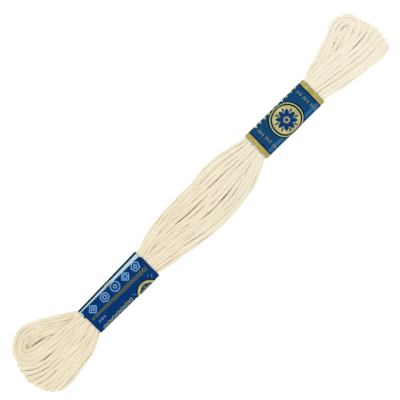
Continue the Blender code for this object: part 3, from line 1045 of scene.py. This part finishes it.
upper_paper, tree, shader, print_map, blue = printed_paper("royal_blue_matt_paper", ROYAL_BLUE, 0.04, 0.02)
along_band = node(tree, "SeparateXYZ", "X", {"Vector": print_map})
from_middle = node(tree, "Math", "Value", {0: along_band}, operation="ABSOLUTE")
patches = node(tree, "TexNoise", "Fac", {"Vector": print_map, "Scale": 1.0 / PATCH_MM, "Detail": 1.0})
gold = layered(tree, GOLD_INK, (DULL_GOLD, spots(tree, MOTTLE_MM, 3.0), 0.35, 0.7, 1.0),
               (TARNISH_BROWN, patches, 0.56, 0.72, 0.75), (TARNISH_GREEN, patches, 0.46, 0.34, 0.7))
# The paler strip near the -Y edge is a painted highlight; the dark line and the gold ends are print.
colour = striped(tree, blue, (PAINTED_HIGHLIGHT_BLUE, along_band.node.outputs["Y"], *PAINTED_HIGHLIGHT_SPAN),
                 (NIGHT_BLUE, from_middle, LINE_FROM, PAST_END), (gold, from_middle, GOLD_FROM, PAST_END))
fill(tree, shader, {"Base Color": colour})
print("upper paper:", len(tree.nodes), "nodes")

# %% The bare back of the paper: unprinted fibres, rougher and softer to the eye than ink
BARE_PAPER = "#EFEBE0"
BARE_SHADE = "#DAD4C4"
# Fibres again, drawn at 0.4 mm so that they show.
FIBRE_MM = 0.4

back_paper, tree, shader = new_material("uncoated_paper_back", {"Roughness": 0.85})
bare = layered(tree, BARE_PAPER, (BARE_SHADE, spots(tree, FIBRE_MM, 4.0), 0.0, 1.0, 1.0))
fill(tree, shader, {"Base Color": bare})
print("back paper:", len(tree.nodes), "nodes")

# %% [markdown]
# ## Putting the paper on
#
# The strips were cut on a machine and glued by another, and it shows. The lower band's glued edge
# slants over the upper face and leaves some of the pale margin bare, while the upper band's lies
# underneath. The lower band's ends are cut clean, the upper one's with a fine zigzag. The outline is a
# rule for each edge of the flat sheet, because a texture would leave a straight edge behind it.

# %% Wrap both bands
FLAP_Y = 4.44
FLAP_SLANT = 0.033
CORNER_FROM = 12.45
CORNER_LENGTH = 1.2
UPPER_FLAP = 16.0
TOOTH = 0.13
TOOTH_PITCH = 0.9
END_SHARPNESS = 8.0
LEFT_BULGES = ((-2.3, 0.6, 0.35), (3.0, 2.0, 0.12))
RIGHT_BULGE = ((2.6, 0.7, 0.3),)


def lower_flap(u):
    """The lower band's glued edge slants over the upper face, with its far corner rounded off."""
    corner = np.clip((u - CORNER_FROM) / CORNER_LENGTH, 0.0, 1.0)
    edge = round_at(LOWER, FLAP_Y - FLAP_SLANT * (u + 0.5 * LOWER.length))
    return edge - (1.0 - np.sqrt(1.0 - corner ** 2))


def upper_flap(u):
    """The upper band's glued edge is straight, and underneath."""
    return np.full_like(u, UPPER_FLAP)


def plain_ends(side, v):
    """Clean cut ends."""
    return 0.0


def pinked_ends(side, v):
    """Ends cut with a fine zigzag, bulged a little where the paper has been pulled."""
    tooth = TOOTH * np.abs((v / TOOTH_PITCH) % 1.0 - 0.5) * 4.0 - TOOTH
    near_left, near_right = [np.clip(1.0 + END_SHARPNESS * (way - 1.0), 0.0, 1.0) for way in (-side, side)]
    return near_right * (tooth + bumps(v, RIGHT_BULGE)) - near_left * (tooth + bumps(v, LEFT_BULGES))


make_sleeve(LOWER, Wrapping(LOWER_START, lower_flap, -0.5, plain_ends), lower_paper, back_paper)
make_sleeve(UPPER, Wrapping(UPPER_START, upper_flap, 0.0, pinked_ends), upper_paper, back_paper)

# %% [markdown]
# ## Gold and pale-blue printing
#
# Thick metallic ink stands a few hundredths of a millimetre proud of the paper, and its edges catch
# the light. So each printed mark is a thin strip of its own, bent round the band with the same
# function as the paper. The marks are plain ornament: rosettes, rings, lozenges, bars and a zigzag
# border, as on any haberdashery band.

# %% Lines of ink
INK_STEP = 0.35


def path_points(corners, closed=False):
    """Points every few tenths of a millimetre along straight lines between corners."""
    corners = [np.asarray(corner, float) for corner in corners]
    if closed:
        corners.append(corners[0])
    pieces = []
    for start, end in zip(corners[:-1], corners[1:]):
        count = max(1, int(math.ceil(np.linalg.norm(end - start) / INK_STEP)))
        share = np.arange(count)[:, None] / count
        pieces.append(start + (end - start) * share)
    if not closed:
        pieces.append(corners[-1][None])
    return np.concatenate(pieces)


def stroke(points, width, closed=False):
    """Left and right edges of a line of ink. width may change along it."""
    if closed:
        ahead = np.roll(points, -1, axis=0) - np.roll(points, 1, axis=0)
    else:
        ahead = np.gradient(points, axis=0)
    side = np.column_stack([-ahead[:, 1], ahead[:, 0]])
    side /= np.maximum(np.linalg.norm(side, axis=1), 1e-9)[:, None]
    half = 0.5 * np.broadcast_to(np.asarray(width, float), len(points))[:, None]
    return points + side * half, points - side * half, closed


print("a line of 2 mm has", len(path_points([(0.0, 0.0), (2.0, 0.0)])), "points")

# %% Rings and discs of ink
DISC_STEP = 0.6


def ring(centre, ring_radius, width, sides=0):
    """A circle of ink, or a polygon when sides are given."""
    count = sides or max(16, int(2.0 * math.pi * ring_radius / INK_STEP))
    angle = 2.0 * math.pi * np.arange(count) / count + (0.5 * math.pi if sides else 0.0)
    corners = np.asarray(centre) + ring_radius * np.column_stack([np.cos(angle), np.sin(angle)])
    if sides:
        corners = path_points(corners, True)
    return stroke(corners, width, True)


def disc(centre, disc_radius):
    """A filled circle, as rings of ink side by side."""
    count = max(1, int(round(disc_radius / DISC_STEP)))
    width = disc_radius / count
    return [ring(centre, width * (number + 0.5), width * 1.02) for number in range(count)]


print("a disc of 3 mm is", len(disc((0.0, 0.0), 3.0)), "rings")

# %% A piece of ink, bent round its band
INK_LIFT = 0.03
INK_DEPTH = 0.09


def ink_mesh(name, sleeve, strips, material, lift=INK_LIFT):
    """Bend strips of ink round a band and make one piece of them."""
    vertices = []
    faces = []
    for left, right, closed in strips:
        edges = ((left, lift), (right, lift), (right, lift - INK_DEPTH), (left, lift - INK_DEPTH))
        rows = [wrap(sleeve, edge[:, 0], edge[:, 1], high - bumps(edge[:, 1], CREASES))
                for edge, high in edges]
        faces += tube_faces(len(left), sum(len(part) for part in vertices), 4, closed)
        vertices.append(np.stack(rows, axis=1).reshape(-1, 3))
    piece = new_piece(name, np.concatenate(vertices), faces, material, False)
    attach(piece, "root")
    print(name, len(strips), "strips,", len(faces), "faces")


print("ink stands", INK_LIFT, "mm proud of the paper")

# %% Inks: bronze is metal powder in varnish and glints a little, and the others are flat printer's inks
def ink_material(name, code, dark_code, metallic, gloss, grain_mm=0.5):
    """Ink with an uneven tone."""
    material, tree, shader = new_material(name, {
        "Metallic": metallic, "Specular IOR Level": gloss, "Roughness": 0.5})
    colour = layered(tree, code, (dark_code, spots(tree, grain_mm, 3.0), 0.35, 0.7, 1.0))
    fill(tree, shader, {"Base Color": colour})
    return material


gold_ink = ink_material("gold_bronze_ink", "#CDCB8A", "#A89A5C", 0.2, 0.5, 2.5)
olive_ink = ink_material("olive_gold_ink", "#6F7648", "#3F5440", 0.1, 0.1)
sage_ink = ink_material("sage_gold_ink", "#9BAA88", "#66806C", 0.1, 0.2)
pale_ink = ink_material("pale_sage_ink", "#C2D0A8", "#9DB892", 0.1, 0.2)
icon_ink = ink_material("pale_blue_ink", "#86BDEA", "#5E9BD0", 0.0, 0.2)
blue_ink = ink_material("royal_blue_ink", "#0A4079", "#053060", 0.0, 0.02)
night_ink = ink_material("night_blue_ink", "#1A2016", "#06131C", 0.0, 0.02)
print("inks:", [ink.name for ink in bpy.data.materials if ink.name.endswith("_ink")])

# %% Motifs: petals, crosses, bars and columns of them
def petals(centre, count, inner, outer, width, turn=0.0):
    """Petals of ink round a centre, each widest a little past its middle."""
    strips = []
    for number in range(count):
        angle = 2.0 * math.pi * number / count + turn
        way = np.array([math.cos(angle), math.sin(angle)])
        share = np.linspace(0.0, 1.0, 13)
        points = np.asarray(centre) + way * (inner + (outer - inner) * share)[:, None]
        strips.append(stroke(points, width * np.sin(math.pi * share ** 0.85) ** 0.8 + 0.04))
    return strips


def line(sleeve, x, y, way, length, width):
    """A short straight line of ink whose middle is seen at x, y."""
    centre = np.array(flat_place(sleeve, x, y))
    half = 0.5 * length * np.asarray(way, float) / np.linalg.norm(way)
    return stroke(path_points([centre - half, centre + half]), width)


def cross(sleeve, x, y, size, width):
    """Two lines of ink crossed, like one cross stitch."""
    return [line(sleeve, x, y, (0.8, 1.0), size, width), line(sleeve, x, y, (-0.8, 1.0), size, width)]


print("a rosette has", len(petals((0.0, 0.0), 8, 0.9, 3.8, 1.6)), "petals and more between them")

# %% The upper band's medallion
MEDAL = flat_place(UPPER, 39.6, -0.5)
ink_mesh("upper_band_gold_disc", UPPER, disc(MEDAL, 4.9), gold_ink)
ink_mesh("upper_band_pale_ring", UPPER, [ring(MEDAL, 5.62, 0.5)], pale_ink)
ink_mesh("upper_band_dark_rings", UPPER, [ring(MEDAL, 5.14, 0.6), ring(MEDAL, 6.02, 0.4)], night_ink,
         INK_LIFT + 0.02)
rosette = petals(MEDAL, 8, 0.9, 3.8, 1.6) + petals(MEDAL, 8, 2.7, 4.3, 0.55, math.pi / 8.0)
ink_mesh("upper_band_rosette", UPPER, rosette + disc(MEDAL, 0.6), blue_ink, INK_LIFT + 0.04)

# %% Columns of bars and a row of wedges on the upper band
BAR_STEP = 0.68
columns = []
for column_x, top, bottom, phase in ((30.6, 3.7, -4.7, 0), (48.9, 3.3, -5.0, 1)):
    for number, y in enumerate(np.arange(top, bottom, -BAR_STEP)):
        kind = (number + phase) % 5
        if kind == 2:
            columns.append(line(UPPER, column_x, y, (0.0, 1.0), 0.5, 0.3))
        elif kind < 4:
            columns.append(line(UPPER, column_x, y, (1.0, 0.1), 1.05, 0.26))
ink_mesh("upper_band_bars", UPPER, columns, sage_ink)

ROW_STEP = 2.05
share = np.linspace(0.0, 1.0, 5)
wedges = []
for number in range(10):
    centre = np.array(flat_place(UPPER, 30.9 + ROW_STEP * number, 5.25 - 0.03 * number))
    spine = centre + np.column_stack([0.0 * share, 1.1 - 1.9 * share])
    wedges.append(stroke(spine, 1.5 * (1.0 - share) + 0.12))
ink_mesh("upper_band_wedges", UPPER, wedges, gold_ink)

# %% A row of outlined motifs on the lower band, and small ticks
MOTIF_LINE = 0.32
motifs = []
for x, y, sides, inner in ((-50.4, 2.1, 4, 4), (-44.8, 2.05, 6, 0), (-39.8, 2.1, 0, 5), (-35.1, 1.95, 4, 0),
                           (-30.4, 1.9, 5, 4)):
    centre = flat_place(LOWER, x, y)
    motifs += [ring(centre, 1.6, MOTIF_LINE, sides), ring(centre, 0.65, MOTIF_LINE, inner)]
ink_mesh("lower_band_motifs", LOWER, motifs, icon_ink)
ticks = [line(LOWER, -51.7 + 0.62 * number, -2.35, (0.0, 1.0), 0.95 - 0.4 * (number % 2), 0.24)
         for number in range(5)]
ticks += [line(LOWER, x, y, (1.0, 0.8), 0.5, 0.16)
          for x, y in ((-37.6, -4.1), (-37.0, -4.7), (-29.6, -3.3), (-29.0, -4.5), (-28.6, -4.0))]
ink_mesh("lower_band_ticks", LOWER, ticks, icon_ink)

# %% A cross-stitch border and a row of lozenges and bars on the lower band
STITCH_STEP = 1.42
STITCHES = 18
LOZENGE_Y = -4.85
LOZENGES = 7
border = []
for number in range(STITCHES):
    x = -52.6 + STITCH_STEP * number
    y = -0.22 - 0.035 * (x + 53.0)
    size = 1.25 + 0.025 * number
    border += [line(LOWER, x, y, (way, 1.0), size, 0.3) for way in (0.8, -0.8)]
    if number < STITCHES - 1:
        border.append(line(LOWER, x + 0.5 * STITCH_STEP, y, (0.0, 1.0), size * 0.75, 0.26))
ink_mesh("lower_band_border", LOWER, border, olive_ink)

row = []
for number in range(LOZENGES):
    row.append(ring(flat_place(LOWER, -51.6 + ROW_STEP * number, LOZENGE_Y), 0.72, 0.3, 4))
    if number < LOZENGES - 1:
        row.append(line(LOWER, -50.57 + ROW_STEP * number, LOZENGE_Y, (0.0, 1.0), 1.3, 0.28))
ink_mesh("lower_band_lozenges", LOWER, row, sage_ink)

# %% Part of a ring with a rosette, and a patch on the lower band's margin
LOWER_MEDAL = np.array(flat_place(LOWER, -33.1, -5.0)) + (0.0, -2.2)
ink_mesh("lower_band_gold_ring", LOWER, [ring(LOWER_MEDAL, 3.35, 0.95)], gold_ink)
ink_mesh("lower_band_dark_ring", LOWER, [ring(LOWER_MEDAL, 3.98, 0.35)], night_ink, INK_LIFT + 0.01)
rosette = petals(LOWER_MEDAL, 8, 0.5, 2.7, 1.0) + disc(LOWER_MEDAL, 0.5)
ink_mesh("lower_band_rosette", LOWER, rosette, olive_ink)
# One colour-test patch on the pale margin, which the glued edge doesn't quite cover.
patch = [line(LOWER, -41.0, 4.5, (1.0, 0.0), 2.7, 1.2)]
ink_mesh("lower_band_margin_patch", LOWER, patch, sage_ink, INK_LIFT - PAPER)

# %% [markdown]
# ## Floor and light
#
# Small haberdashery is shown off on a light table: opal acrylic lit from below, so that the
# background stays clean white and nothing throws a hard shadow. Above it hangs a white dome, a little
# brighter overhead than at its rim, which gives the strands their soft modelling. A large softbox
# high over the +Y side adds the faintest direction, as a window would.

# %% The light table
TABLE_HALF = 1.0
TABLE_DROP = 0.0002
TABLE_GLOW = 1.04
OPAL_GREY = "#5A5A5A"
COOL_WHITE = "#F4FFFF"

table_mesh = bpy.data.meshes.new("light_table")
corners = [(x * TABLE_HALF, y * TABLE_HALF, 0.0) for x, y in ((-1, -1), (1, -1), (1, 1), (-1, 1))]
table_mesh.from_pydata(corners, [], [(0, 1, 2, 3)])
light_table = bpy.data.objects.new("light_table", table_mesh)
light_table.location.z = -TABLE_DROP
bpy.context.scene.collection.objects.link(light_table)
acrylic = new_material("opal_acrylic", {"Base Color": OPAL_GREY, "Roughness": 0.9,
                                        "Emission Color": COOL_WHITE, "Emission Strength": TABLE_GLOW})[0]
table_mesh.materials.append(acrylic)
print("light table of", 2.0 * TABLE_HALF, "m")

# %% The dome and the softbox
DOME_RIM = 0.82
DOME_TOP = 1.01
SOFTBOX_SIZE = 0.8
SOFTBOX_WATTS = 0.8
SOFTBOX_PLACE = (0.0, 0.5, 1.2)

world = bpy.data.worlds.new("white_dome")
world.use_nodes = True
bpy.context.scene.world = world
tree = world.node_tree
direction = node(tree, "TexCoord", "Generated", {})
up_share = node(tree, "SeparateXYZ", "Z", {"Vector": direction})
glow = node(tree, "MapRange", "Result", {"Value": up_share, "To Min": DOME_RIM, "To Max": DOME_TOP})
fill(tree, tree.nodes["Background"], {"Color": "#FFFFFF", "Strength": glow})

softbox_data = bpy.data.lights.new("softbox", "AREA")
softbox_data.size = SOFTBOX_SIZE
softbox_data.energy = SOFTBOX_WATTS
softbox = bpy.data.objects.new("softbox", softbox_data)
softbox.location = SOFTBOX_PLACE
softbox.rotation_euler = (-math.atan2(SOFTBOX_PLACE[1], SOFTBOX_PLACE[2]), 0.0, 0.0)
bpy.context.scene.collection.objects.link(softbox)
bpy.context.scene.view_settings.view_transform = "Standard"
print("dome from", DOME_RIM, "at its rim to", DOME_TOP, "overhead, with a softbox of", SOFTBOX_WATTS, "W")
